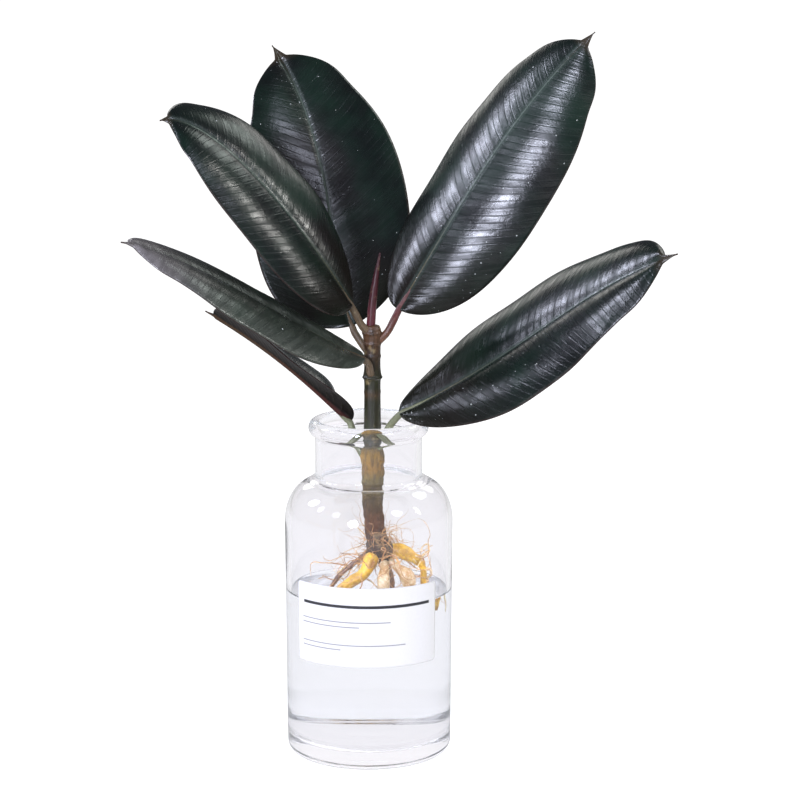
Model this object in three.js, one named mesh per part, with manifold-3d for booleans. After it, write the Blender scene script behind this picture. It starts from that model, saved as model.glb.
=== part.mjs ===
// A rubber plant cutting rooted in water, standing in a clear glass vase with a paper label.
// Millimetres, +Z up. The origin is the centre of the vase's flat foot, +X is the plant's right
// and +Y its back. Leaves are thin closed sheets swept along a midrib and joined to their stalk.
import * as THREE from 'three';
import { mergeVertices } from 'three/addons/utils/BufferGeometryUtils.js';
import Module from 'manifold-3d';

const wasm = await Module();
wasm.setup();

// ---- Driving dimensions -------------------------------------------------------------------
const GAP = 0.35;             // clearance kept between neighbouring solids
const VASE = {
  height: 175.5,
  footRadius: 42.4,           // outside of the body just above the foot's rounded edge
  bodyRadius: 43.2,           // outside of the body just below the shoulder
  footCorner: 6,
  shoulderLow: 122.5,         // where the straight body ends
  shoulderHigh: 144,          // where the shoulder reaches the neck
  neckRadius: 27.5,
  lipRadius: 30.8,
  lipHeight: 8.5,
  lipRounding: 0.6,           // by which the lip's cross-section is narrower than it is high
  neckFillet: 3,              // height of the bend between the shoulder and the neck
  wall: 2.6,
  floor: 9,                   // thickness of the heavy bottom at its middle
  segments: 40,
};
const WATER_LEVEL = 86;
const LABEL = { low: 55.5, high: 97, halfAngle: 53.5, turn: -1.8, thickness: 0.3, corner: 1.2 };
const LEAF = {
  thickness: 1.1,             // of the blade beside the midrib
  edge: 0.7,                  // of the blade at its margin
  bladeEnd: 0.955,            // share of the length where the rounded blade closes on the drip tip
  tipWidth: 0.12,             // half-width of the drip tip's root, as a share of the blade's
  ovalFullness: 2.3,          // exponents of the blade's outline, above 2 and below 1 for a full oval
  ovalRoundness: 0.6,
  thinnest: 0.4,              // half-width of the drip tip's end
  stalkRadius: 2,
  ribRadius: 1.5,             // of the midrib's keel at the blade's base
  ribDepth: 1,                // of the keel's centre line below the blade's face
  rows: 18,
  columns: 6,
};
const SIDES = { stem: 12, sheath: 8, root: 7, stalk: 7 };

// ---- Shared construction ------------------------------------------------------------------
const vec = (p) => new THREE.Vector3(p[0], p[1], p[2]);
const degrees = THREE.MathUtils.degToRad;

/** A geometry from a list of points and triangles, faceted. */
function geometryOf(points, triangles) {
  const geometry = new THREE.BufferGeometry();
  geometry.setAttribute('position', new THREE.Float32BufferAttribute(points.flat(), 3));
  geometry.setIndex(triangles.flat());
  geometry.computeVertexNormals();
  return geometry;
}

/** The manifold solid of a closed geometry. */
function solidOf(geometry) {
  const bare = geometry.clone();
  bare.deleteAttribute('normal');
  bare.deleteAttribute('uv');
  const merged = mergeVertices(bare, 1e-4);
  return new wasm.Manifold(new wasm.Mesh({
    numProp: 3,
    vertProperties: new Float32Array(merged.attributes.position.array),
    triVerts: new Uint32Array(merged.index.array),
  }));
}

/** The geometry of a manifold solid. */
function geometryOfSolid(solid) {
  const mesh = solid.getMesh();
  const geometry = new THREE.BufferGeometry();
  geometry.setAttribute('position', new THREE.BufferAttribute(mesh.vertProperties, 3));
  geometry.setIndex(new THREE.BufferAttribute(mesh.triVerts, 1));
  geometry.computeVertexNormals();
  return geometry;
}

/** A closed sheet between two grids of points, upper[i][j] and lower[i][j]. */
function closedSheet(upper, lower) {
  const rows = upper.length;
  const columns = upper[0].length;
  const points = [...upper.flat(), ...lower.flat()];
  const top = (i, j) => i * columns + j;
  const under = (i, j) => (rows + i) * columns + j;
  const triangles = [];
  for (let i = 0; i < rows - 1; i++) {
    for (let j = 0; j < columns - 1; j++) {
      triangles.push([top(i, j), top(i + 1, j), top(i + 1, j + 1)]);
      triangles.push([top(i, j), top(i + 1, j + 1), top(i, j + 1)]);
      triangles.push([under(i, j), under(i + 1, j + 1), under(i + 1, j)]);
      triangles.push([under(i, j), under(i, j + 1), under(i + 1, j + 1)]);
    }
  }
  const rim = [];
  for (let i = 0; i < rows - 1; i++) rim.push([i, 0]);
  for (let j = 0; j < columns - 1; j++) rim.push([rows - 1, j]);
  for (let i = rows - 1; i > 0; i--) rim.push([i, columns - 1]);
  for (let j = columns - 1; j > 0; j--) rim.push([0, j]);
  rim.forEach(([i, j], n) => {
    const [k, l] = rim[(n + 1) % rim.length];
    triangles.push([top(i, j), under(i, j), under(k, l)]);
    triangles.push([top(i, j), under(k, l), top(k, l)]);
  });
  return geometryOf(points, triangles);
}

/** A closed tube through stations [x, y, z, radius], fatter by grow, with flat ends. */
function taperedTube(stations, sides, stepsPerSpan, grow = 0) {
  const curve = new THREE.CatmullRomCurve3(stations.map(vec));
  const steps = stepsPerSpan * (stations.length - 1);
  const radiusAt = (t) => {
    const place = t * (stations.length - 1);
    const k = Math.min(Math.floor(place), stations.length - 2);
    return THREE.MathUtils.lerp(stations[k][3], stations[k + 1][3], place - k) + grow;
  };
  const points = [];
  const triangles = [];
  let across = new THREE.Vector3(1, 0, 0);
  for (let i = 0; i <= steps; i++) {
    const along = curve.getTangent(i / steps);
    if (i === 0 && Math.abs(along.x) > 0.8) across.set(0, 1, 0);
    across = across.clone().addScaledVector(along, -across.dot(along)).normalize();
    const third = new THREE.Vector3().crossVectors(along, across);
    const centre = curve.getPoint(i / steps);
    for (let j = 0; j < sides; j++) {
      const a = (2 * Math.PI * j) / sides;
      const r = radiusAt(i / steps);
      points.push(centre.clone().addScaledVector(across, r * Math.cos(a))
        .addScaledVector(third, r * Math.sin(a)).toArray());
    }
  }
  for (let i = 0; i < steps; i++) {
    for (let j = 0; j < sides; j++) {
      const k = (j + 1) % sides;
      triangles.push([i * sides + j, i * sides + k, (i + 1) * sides + k]);
      triangles.push([i * sides + j, (i + 1) * sides + k, (i + 1) * sides + j]);
    }
  }
  const last = steps * sides;
  for (let j = 1; j < sides - 1; j++) {
    triangles.push([0, j + 1, j]);
    triangles.push([last, last + j, last + j + 1]);
  }
  return geometryOf(points, triangles);
}

/** Points on an elliptic arc in the half-plane of a turned profile, angles in degrees. */
function arc(centre, radii, from, to, count) {
  return Array.from({ length: count + 1 }, (_, i) => {
    const a = degrees(from + ((to - from) * i) / count);
    return new THREE.Vector2(centre[0] + radii[0] * Math.cos(a), centre[1] + radii[1] * Math.sin(a));
  });
}

/** A body of revolution about +Z from a profile of [radius, height] points. */
function turned(profile, segments) {
  const geometry = new THREE.LatheGeometry(profile, segments);
  geometry.rotateX(Math.PI / 2);
  return geometryOfSolid(solidOf(geometry));
}

function named(name, geometry, look) {
  const mesh = new THREE.Mesh(geometry, new THREE.MeshStandardMaterial(look));
  mesh.name = name;
  return mesh;
}

// ---- Looks --------------------------------------------------------------------------------
const clearGlass = { color: 0xf2f5f5, roughness: 0.05, metalness: 0, transparent: true, opacity: 0.3 };
const water = { color: 0xeef3f4, roughness: 0.05, metalness: 0, transparent: true, opacity: 0.3 };
const paper = { color: 0xf7f6f4, roughness: 0.8, metalness: 0 };
const leafGreen = { color: 0x1d2624, roughness: 0.35, metalness: 0 };
const bark = { color: 0x5a5b3e, roughness: 0.7, metalness: 0 };
const sheathRed = { color: 0x4a1f26, roughness: 0.4, metalness: 0 };
const rootYellow = { color: 0xd8b040, roughness: 0.6, metalness: 0 };
const rootCream = { color: 0xecdcbc, roughness: 0.6, metalness: 0 };
const rootBrown = { color: 0x6a452a, roughness: 0.7, metalness: 0 };

// ---- Vase, water and label ----------------------------------------------------------------
const insideRadius = VASE.bodyRadius - VASE.wall;
const insideNeck = VASE.neckRadius - VASE.wall;
const insideFoot = VASE.footRadius - VASE.wall;
const insideCorner = 6.5;

/** Outside radius of the straight body at a height. */
function bodyRadiusAt(z) {
  const share = (z - VASE.footCorner) / (VASE.shoulderLow - VASE.footCorner);
  return THREE.MathUtils.lerp(VASE.footRadius, VASE.bodyRadius, share);
}

function vaseShell() {
  const { height, footCorner, shoulderLow, shoulderHigh, neckRadius, lipRadius, wall } = VASE;
  const rise = shoulderHigh - shoulderLow;
  const lipLow = height - VASE.lipHeight;
  const lipRadii = [VASE.lipHeight / 2 - VASE.lipRounding, VASE.lipHeight / 2];
  const lipCentre = [lipRadius - lipRadii[0], height - lipRadii[1]];
  const outside = [
    new THREE.Vector2(0, 0),
    ...arc([VASE.footRadius - footCorner, footCorner], [footCorner, footCorner], -90, 0, 4),
    ...arc([neckRadius, shoulderLow], [VASE.bodyRadius - neckRadius, rise], 0, 78, 6),
    new THREE.Vector2(neckRadius + 0.3 * VASE.neckFillet, shoulderHigh + 0.2 * VASE.neckFillet),
    new THREE.Vector2(neckRadius, shoulderHigh + VASE.neckFillet),
    new THREE.Vector2(neckRadius, lipLow - 1),
    ...arc(lipCentre, lipRadii, -60, 90, 5),
  ];
  const inside = [
    new THREE.Vector2(insideNeck + 1.2, height),
    new THREE.Vector2(insideNeck, height - 1.6),
    new THREE.Vector2(insideNeck, shoulderHigh + 1),
    ...arc([insideNeck + 1.5, shoulderLow], [insideRadius - insideNeck - 1.5, rise - wall + 0.6], 78, 0, 5),
    ...arc([insideFoot - insideCorner, VASE.floor + insideCorner], [insideCorner, insideCorner], 0, -90, 4),
    new THREE.Vector2(0, VASE.floor),
  ];
  return turned([...outside, ...inside], VASE.segments);
}

function waterBody(roots) {
  const radius = insideFoot - GAP;
  const low = VASE.floor + GAP;
  const top = bodyRadiusAt(WATER_LEVEL) - VASE.wall - GAP;
  const profile = [
    new THREE.Vector2(0, low),
    ...arc([radius - insideCorner, low + insideCorner], [insideCorner, insideCorner], -90, 0, 4),
    new THREE.Vector2(top, WATER_LEVEL),
    new THREE.Vector2(0, WATER_LEVEL),
  ];
  let body = solidOf(turned(profile, VASE.segments));
  for (const stations of roots) body = body.subtract(solidOf(taperedTube(stations, SIDES.root, 2, GAP)));
  return geometryOfSolid(body);
}

function labelSheet() {
  const columns = 20;
  const heights = [0, 0.02, 0.5, 0.98, 1];
  const insets = [LABEL.corner, 0, 0, 0, LABEL.corner];
  const layer = (lift) => heights.map((share, i) => {
    const z = THREE.MathUtils.lerp(LABEL.low, LABEL.high, share);
    const half = degrees(LABEL.halfAngle) - insets[i] / VASE.bodyRadius;
    return Array.from({ length: columns + 1 }, (_, j) => {
      const a = degrees(LABEL.turn - 90) + half * (1 - (2 * j) / columns);
      const r = bodyRadiusAt(z) + lift;
      return [r * Math.cos(a), r * Math.sin(a), z];
    });
  });
  return closedSheet(layer(GAP + LABEL.thickness), layer(GAP));
}

// ---- Stem and roots -----------------------------------------------------------------------
const STEM = [
  [5.5, 0, 100.5, 4.2], [5.8, 0, 106.5, 7.2], [4.3, 0, 112, 5.6], [3, 0, 117.5, 5.3], [2.2, 0, 130.5, 5.3],
  [2, 0, 145.5, 6], [2, 0, 158.5, 5.8], [2, 0, 166.5, 4.7], [2, 0, 192.5, 4.3], [2, 0, 197.5, 4.8],
  [2, 0, 202.5, 4.3], [2, 0, 213.5, 4.4], [1.8, 0, 220.5, 4.9], [1.6, 0, 223.5, 4.2],
];
const SHEATH = [[1.2, 0, 224.3, 2.3], [2.2, 0, 236.5, 2.1], [4, 0, 249.5, 1.4], [6, 0, 261, 0.4]];
const ROOTS = {
  root_brown_left: {
    look: rootBrown,
    path: [[3, 1, 106.5, 1.8], [-3, 2, 102.5, 1.5], [-10, 2, 97, 1.3], [-17, 1, 90.5, 1.2], [-22, -1, 80.5, 1],
      [-25, -2, 70.5, 0.8]],
  },
  root_yellow_left: {
    look: rootYellow,
    path: [[4, -2, 106.5, 2.5], [1, -5, 102, 3.9], [-2.5, -7, 96, 3.2], [-9, -8, 91.5, 2.9],
      [-15, -8, 86.5, 2.4], [-18, -7, 76.5, 1.7], [-18, -6, 65.5, 1]],
  },
  root_cream_front: {
    look: rootCream,
    path: [[7, -2, 103.5, 1.8], [8, -6, 98.5, 2.4], [7.5, -9, 92.5, 3.3], [8, -9.5, 84.5, 2.6],
      [10, -9, 72.5, 1.6], [8, -8, 61.5, 1]],
  },
  root_yellow_right: {
    look: rootYellow,
    path: [[8, 0, 107.5, 2.4], [17.5, -1, 105.8, 3.9], [24, 0, 101.5, 2.5], [28, 1, 96.5, 1.8],
      [28, 1, 87.5, 1.6], [26, 2, 75.5, 1]],
  },
  root_cream_right: {
    look: rootCream,
    path: [[8, -0.5, 102.5, 1.7], [14, -3, 98.5, 2.1], [19.5, -4, 93.5, 3.9], [20.5, -3.5, 85.5, 2.6],
      [18, -3, 74.5, 1.3]],
  },
  root_tan_back: {
    look: rootBrown,
    path: [[6, 2, 103.5, 2], [8, 7, 98.5, 2.2], [11, 10, 89.5, 1.9], [12, 10, 76.5, 1.4], [10, 9, 62.5, 0.9]],
  },
};

function clearOfStem(solid) {
  return solid.subtract(solidOf(taperedTube(STEM, SIDES.stem, 1, GAP)));
}

// ---- Leaves -------------------------------------------------------------------------------
// midrib: four Bezier points, from the blade's base to the tip. stalk: from inside the stem to the blade.
// halfWidth: across the blade's face. widest: above 1 puts the widest place nearer the tip.
// roll: turn of the blade about its midrib, at base and tip, towards the side normal x midrib.
// fold: upward slope of each half beside the midrib. curl: how far that slope turns down by the margin.
const LEAVES = {
  leaf_upper_right: {
    midrib: [[15, 3, 231.5], [41, 14, 273.5], [71, 11, 331.5], [114, 10.5, 371.5]],
    stalk: [[2.5, 0, 214], [9, 0.6, 219.5], [12.5, 1.5, 225.5]],
    halfWidth: 39, widest: 0.94, roll: [-40, -60], fold: -6, curl: 36,
  },
  leaf_back: {
    midrib: [[-8.5, 8.5, 222.5], [-21, 54, 241.5], [-17, 62, 313.5], [-51.5, 85.5, 359.5]],
    stalk: [[1.5, 0.5, 208.5], [-2.5, 4, 212.5], [-6.5, 6.5, 218]],
    halfWidth: 42, widest: 0.95, roll: [19, 31], fold: 14, curl: 20,
  },
  leaf_upper_left: {
    midrib: [[-8, -8, 236], [-23, -22, 264], [-72, -28, 337.5], [-101, -40, 332]],
    stalk: [[1, -0.5, 220], [-3, -3.5, 224], [-6, -6, 230]],
    halfWidth: 32.5, widest: 0.88, roll: [54, 36], fold: 10, curl: 35,
  },
  leaf_middle_left: {
    midrib: [[-1.5, -10, 208.5], [-46, -23.5, 232], [-82.5, -40, 265], [-118, -70, 276.5]],
    stalk: [[1.8, -0.5, 198], [1, -4.5, 200.5], [0.2, -8, 205]],
    halfWidth: 31.5, widest: 0.97, roll: [18, 20], fold: 6, curl: 37,
  },
  leaf_lower_left: {
    midrib: [[-9, 3.5, 173.5], [-27, -2.5, 192], [-48, 28, 205.5], [-86.5, 57.5, 222]],
    stalk: [[1, 0.5, 153.5], [-4, 1.5, 158], [-7.5, 2.5, 166.5]],
    halfWidth: 26.5, widest: 1.2, roll: [-24, -31], fold: 21, curl: 18,
  },
  leaf_lower_right: {
    midrib: [[15.5, -12, 180.5], [80.5, -27, 215.5], [100.5, -37.5, 247], [149, -75.5, 271.5]],
    stalk: [[2.5, -0.5, 158.5], [6.5, -3.5, 163.5], [10.5, -8, 172.5]],
    halfWidth: 37, widest: 1.04, roll: [-43, -42], fold: 8, curl: 29,
  },
};

/** Half-width of a blade at share t of its length: a full oval that ends in a narrow drip tip. */
function halfWidthAt(leaf, t) {
  const u = Math.min(t / LEAF.bladeEnd, 1);
  const fromWidest = Math.abs(2 * Math.pow(u, leaf.widest) - 1);
  const oval = Math.pow(Math.max(0, 1 - Math.pow(fromWidest, LEAF.ovalFullness)), LEAF.ovalRoundness);
  const clamp = THREE.MathUtils.clamp;
  const tip = LEAF.tipWidth * clamp((1 - t) / 0.1, 0, 1) * clamp((t - 0.6) / 0.3, 0, 1);
  return Math.max(leaf.halfWidth * Math.hypot(oval, tip), LEAF.thinnest);
}

/** The midrib's point, and the blade's normal and sideways direction there. */
function bladeFrame(leaf, t) {
  const curve = new THREE.CubicBezierCurve3(...leaf.midrib.map(vec));
  const along = curve.getTangent(t);
  const normal = new THREE.Vector3(0, 0, 1).addScaledVector(along, -along.z).normalize();
  const side = new THREE.Vector3().crossVectors(normal, along);
  const turn = degrees(THREE.MathUtils.lerp(leaf.roll[0], leaf.roll[1], t));
  return {
    centre: curve.getPoint(t),
    normal: normal.clone().multiplyScalar(Math.cos(turn)).addScaledVector(side, Math.sin(turn)),
    side: side.clone().multiplyScalar(Math.cos(turn)).addScaledVector(normal, -Math.sin(turn)),
  };
}

/** A point of the blade's face at share t along it and q across it, from -1 to 1, sunk by depth. */
function bladePoint(leaf, t, q, depth) {
  const { centre, normal, side } = bladeFrame(leaf, t);
  const width = halfWidthAt(leaf, t);
  const fold = degrees(leaf.fold);
  const curl = degrees(leaf.curl);
  const slope = fold - curl * Math.abs(q);
  const out = ((Math.sin(fold) - Math.sin(slope)) / curl) * width * Math.sign(q);
  const up = ((Math.cos(slope) - Math.cos(fold)) / curl) * width;
  return centre.addScaledVector(side, out).addScaledVector(normal, up - depth).toArray();
}

function leafSolid(leaf) {
  const layer = (under) => Array.from({ length: LEAF.rows + 1 }, (_, i) => {
    const t = (1 - Math.cos((Math.PI * i) / LEAF.rows)) / 2;
    return Array.from({ length: LEAF.columns + 1 }, (__, j) => {
      const q = (2 * j) / LEAF.columns - 1;
      return bladePoint(leaf, t, q, under ? THREE.MathUtils.lerp(LEAF.thickness, LEAF.edge, q * q) : 0);
    });
  });
  const blade = solidOf(closedSheet(layer(false), layer(true)));
  const stalkPath = leaf.stalk.map((p) => [...p, LEAF.stalkRadius]);
  const keel = [0, 0.25, 0.5, 0.72].map((t) => [...bladePoint(leaf, t, 0, LEAF.ribDepth), LEAF.ribRadius - t]);
  const stalk = solidOf(taperedTube([...stalkPath, ...keel], SIDES.stalk, 2));
  return geometryOfSolid(clearOfStem(blade.add(stalk)));
}

// ---- The plant in its vase ----------------------------------------------------------------
const group = new THREE.Group();
group.add(named('glass_vase', vaseShell(), clearGlass));
group.add(named('water', waterBody(Object.values(ROOTS).map((root) => root.path)), water));
group.add(named('label', labelSheet(), paper));
group.add(named('stem', taperedTube(STEM, SIDES.stem, 1), bark));
group.add(named('growing_tip_sheath', taperedTube(SHEATH, SIDES.sheath, 2), sheathRed));
for (const [name, root] of Object.entries(ROOTS)) {
  const solid = clearOfStem(solidOf(taperedTube(root.path, SIDES.root, 2)));
  group.add(named(name, geometryOfSolid(solid), root.look));
}
for (const [name, leaf] of Object.entries(LEAVES)) group.add(named(name, leafSolid(leaf), leafGreen));

export default group;
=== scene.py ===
"""Looks for the rubber plant in its glass vase: lathed glass, water, ruled label, stem, roots and six leaves.

Lengths are worked out in millimetres, as in the CAD source, and turned into metres by MM when a mesh is made.
"""
import math

import bpy
import numpy as np
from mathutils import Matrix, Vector


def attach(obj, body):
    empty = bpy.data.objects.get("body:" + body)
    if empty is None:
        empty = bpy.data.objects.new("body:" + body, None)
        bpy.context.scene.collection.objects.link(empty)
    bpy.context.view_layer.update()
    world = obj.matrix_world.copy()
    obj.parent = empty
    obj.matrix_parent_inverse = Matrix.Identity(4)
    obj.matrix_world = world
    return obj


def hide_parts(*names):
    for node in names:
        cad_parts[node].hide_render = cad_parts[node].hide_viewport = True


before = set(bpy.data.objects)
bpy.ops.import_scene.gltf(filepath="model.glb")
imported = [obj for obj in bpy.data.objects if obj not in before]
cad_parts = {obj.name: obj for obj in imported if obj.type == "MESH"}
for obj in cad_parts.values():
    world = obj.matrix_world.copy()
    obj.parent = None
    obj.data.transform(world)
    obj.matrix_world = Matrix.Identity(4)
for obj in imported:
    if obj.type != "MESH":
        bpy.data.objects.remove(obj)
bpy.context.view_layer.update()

MM = 0.001

# ---- Driving dimensions, the same as the CAD source's ----
VASE = dict(
    height=175.5, foot_radius=42.4, body_radius=43.2, foot_corner=6.0, shoulder_low=122.5,
    shoulder_high=144.0, neck_radius=27.5, lip_radius=30.8, lip_height=8.5, wall=2.6, floor=9.0,
)
WATER_LEVEL = 86.0
LABEL = dict(low=55.5, high=97.0, half_angle=53.5, turn=-1.8, lift=0.12, thickness=0.16, corner=1.2)
BLADE_END = 0.955
CUSP_WIDTH = 0.085            # the drip tip's root, as a share of the blade's half-width
BLADE_THICKNESS, BLADE_EDGE = 0.62, 0.34      # beside the midrib and at the margin
VEIN_SPACING = 4.4            # between side veins, along the midrib
VEIN_LEAN, VEIN_BEND = 0.40, 0.006            # how far veins lean forward, and bend more near the margin
FLOOR_DOME = 0.8              # by which the vase's inside floor is higher at its middle
ROOT_REACH = 33.0             # how far from the vase's axis roots may wander
CROWN_X, CROWN_RADIUS = 5.5, 6.2              # the root crown, at Y 0

STEM = [
    (5.5, 0, 100.5, 4.2), (5.8, 0, 106.5, 7.2), (4.3, 0, 112, 5.6), (3, 0, 117.5, 5.3), (2.2, 0, 130.5, 5.3),
    (2, 0, 145.5, 6), (2, 0, 158.5, 5.8), (2, 0, 166.5, 4.7), (2, 0, 192.5, 4.3), (2, 0, 197.5, 4.8),
    (2, 0, 202.5, 4.3), (2, 0, 213.5, 4.4), (1.8, 0, 220.5, 4.9), (1.6, 0, 223.5, 4.2),
]
SHEATH = [(1.2, 0, 223.5, 2.3), (2.2, 0, 236.5, 2.1), (4, 0, 249.5, 1.4), (6, 0, 261, 0.35)]
ROOTS = {
    "root_brown_left": ("brown_root", [
        (3, 1, 106.5, 1.8), (-3, 2, 102.5, 1.5), (-10, 2, 97, 1.3), (-17, 1, 90.5, 1.2), (-22, -1, 80.5, 1),
        (-25, -2, 70.5, 0.5)]),
    "root_yellow_left": ("yellow_root", [
        (4, -2, 106.5, 2.5), (1, -5, 102, 3.9), (-2.5, -7, 96, 3.2), (-9, -8, 91.5, 2.9), (-15, -8, 86.5, 2.4),
        (-18, -7, 76.5, 1.7), (-18, -6, 65.5, 0.6)]),
    "root_cream_front": ("cream_root", [
        (7, -2, 103.5, 1.8), (8, -6, 98.5, 2.4), (7.5, -9, 92.5, 3.3), (8, -9.5, 84.5, 2.6),
        (10, -9, 72.5, 1.6), (8, -8, 61.5, 0.6)]),
    "root_yellow_right": ("yellow_root", [
        (8, 0, 107.5, 2.4), (17.5, -1, 105.8, 3.9), (24, 0, 101.5, 2.5), (28, 1, 96.5, 1.8), (28, 1, 87.5, 1.6),
        (26, 2, 75.5, 0.6)]),
    "root_cream_right": ("cream_root", [
        (8, -0.5, 102.5, 1.7), (14, -3, 98.5, 2.1), (19.5, -4, 93.5, 3.9), (20.5, -3.5, 85.5, 2.6),
        (18, -3, 74.5, 0.8)]),
    "root_tan_back": ("brown_root", [
        (6, 2, 103.5, 2), (8, 7, 98.5, 2.2), (11, 10, 89.5, 1.9), (12, 10, 76.5, 1.4), (10, 9, 62.5, 0.5)]),
}
LEAVES = {
    "leaf_upper_right": dict(
        midrib=[(15, 3, 231.5), (41, 14, 273.5), (71, 11, 331.5), (114, 10.5, 371.5)],
        stalk=[(2.5, 0, 214), (9, 0.6, 219.5), (12.5, 1.5, 225.5)],
        half=39, widest=0.94, roll=(-40, -60), fold=-6, curl=36, bulge=0.5,
        valley=0.25, band=1.6, stalk_tint="red"),
    "leaf_back": dict(
        midrib=[(-8.5, 8.5, 222.5), (-21, 54, 241.5), (-17, 62, 313.5), (-51.5, 85.5, 359.5)],
        stalk=[(1.5, 0.5, 208.5), (-2.5, 4, 212.5), (-6.5, 6.5, 218)],
        half=42, widest=0.95, roll=(19, 31), fold=14, curl=20, bulge=0.8,
        valley=0.3, band=1.8, stalk_tint="tan"),
    "leaf_upper_left": dict(
        midrib=[(-8, -8, 236), (-23, -22, 264), (-72, -28, 337.5), (-101, -40, 332)],
        stalk=[(1, -0.5, 220), (-3, -3.5, 224), (-6, -6, 230)],
        half=32.5, widest=0.88, roll=(54, 36), fold=10, curl=35, bulge=1.0,
        valley=0.4, band=3.6, stalk_tint="tan"),
    "leaf_middle_left": dict(
        midrib=[(-1.5, -10, 208.5), (-46, -23.5, 232), (-82.5, -40, 265), (-118, -70, 276.5)],
        stalk=[(1.8, -0.5, 198), (1, -4.5, 200.5), (0.2, -8, 205)],
        half=31.5, widest=0.97, roll=(18, 20), fold=6, curl=37, bulge=1.4,
        valley=0.35, band=3.2, stalk_tint="tan"),
    "leaf_lower_left": dict(
        midrib=[(-9, 3.5, 173.5), (-27, -2.5, 192), (-48, 28, 205.5), (-86.5, 57.5, 222)],
        stalk=[(1, 0.5, 153.5), (-4, 1.5, 158), (-7.5, 2.5, 166.5)],
        half=26.5, widest=1.2, roll=(-24, -31), fold=21, curl=18, bulge=1.0,
        valley=0.3, band=1.8, stalk_tint="green"),
    "leaf_lower_right": dict(
        midrib=[(15.5, -12, 180.5), (80.5, -27, 215.5), (100.5, -37.5, 247), (149, -75.5, 271.5)],
        stalk=[(2.5, -0.5, 158.5), (6.5, -3.5, 163.5), (10.5, -8, 172.5)],
        half=37, widest=1.04, roll=(-43, -42), fold=8, curl=29, bulge=2.0,
        valley=0.45, band=4.0, stalk_tint="green"),
}


# ---- Small maths ----
def unit(v):
    """v with length 1."""
    return v / np.maximum(np.linalg.norm(v, axis=-1, keepdims=True), 1e-12)


def smoothstep(low, high, x):
    """0 up to low, 1 from high on, and smooth between."""
    u = np.clip((x - low) / (high - low), 0, 1)
    return u * u * (3 - 2 * u)


def lattice_noise(points, scale, seed):
    """Smooth value noise from -1 to 1 at points (n, 3), with features about scale long."""
    p = np.asarray(points, float) / scale + seed * 17.17
    cell = np.floor(p).astype(np.int64)
    part = p - cell
    part = part * part * (3 - 2 * part)
    total = np.zeros(len(p))
    for corner in range(8):
        step = np.array([corner & 1, corner >> 1 & 1, corner >> 2 & 1])
        c = cell + step
        h = (c[:, 0] * 374761393 + c[:, 1] * 668265263 + c[:, 2] * 2147483647 + seed * 974634777) & 0xFFFFFFFF
        h = ((h ^ (h >> 13)) * 1274126177) & 0xFFFFFFFF
        value = ((h ^ (h >> 16)) & 0xFFFF) / 32767.5 - 1
        weight = np.prod(np.where(step == 1, part, 1 - part), axis=1)
        total += value * weight
    return total


def catmull_rom(stations, steps_per_span):
    """Points and values along a uniform Catmull-Rom curve through the stations."""
    s = np.asarray(stations, float)
    padded = np.vstack([2 * s[0] - s[1], s, 2 * s[-1] - s[-2]])
    rows = []
    for k in range(len(s) - 1):
        a, b, c, d = padded[k:k + 4]
        last = k == len(s) - 2
        for u in np.linspace(0, 1, steps_per_span + 1)[: None if last else -1]:
            rows.append(0.5 * (2 * b + (c - a) * u + (2 * a - 5 * b + 4 * c - d) * u**2
                               + (3 * b - a - 3 * c + d) * u**3))
    return np.array(rows)


# ---- Mesh making ----
def make_object(name, verts, faces, materials, uvs=None, face_materials=None, smooth=True):
    """A mesh object from points in millimetres. uvs maps a layer name to one (u, v) per vertex."""
    mesh = bpy.data.meshes.new(name)
    mesh.from_pydata((np.asarray(verts, float) * MM).tolist(), [], [list(f) for f in faces])
    corner_vertex = np.zeros(len(mesh.loops), np.int32)
    mesh.loops.foreach_get("vertex_index", corner_vertex)
    for layer, values in (uvs or {}).items():
        uv = mesh.uv_layers.new(name=layer)
        uv.data.foreach_set("uv", np.asarray(values, np.float32)[corner_vertex].ravel())
    for material in materials:
        mesh.materials.append(material)
    if face_materials is not None:
        mesh.polygons.foreach_set("material_index", np.asarray(face_materials, np.int32))
    mesh.polygons.foreach_set("use_smooth", [smooth] * len(mesh.polygons))
    mesh.update()
    obj = bpy.data.objects.new(name, mesh)
    bpy.context.scene.collection.objects.link(obj)
    return obj


def join_parts(parts):
    """One vertex, face and uv list from several (verts, faces, uv) parts."""
    verts, faces, uvs, start = [], [], [], 0
    for v, f, uv in parts:
        verts.append(np.asarray(v, float))
        uvs.append(np.asarray(uv, float))
        faces += [[i + start for i in face] for face in f]
        start += len(v)
    return np.vstack(verts), faces, np.vstack(uvs)


def ring_faces(rings, sides):
    """Faces round a stack of rings. The two vertices after the rings, at the start and the end, close it."""
    faces = []
    for i in range(rings - 1):
        for j in range(sides):
            k = (j + 1) % sides
            faces.append((i * sides + j, i * sides + k, (i + 1) * sides + k, (i + 1) * sides + j))
    start, last = rings * sides, (rings - 1) * sides
    for j in range(sides):
        k = (j + 1) % sides
        faces += [(start, k, j), (start + 1, last + j, last + k)]
    return faces


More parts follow.
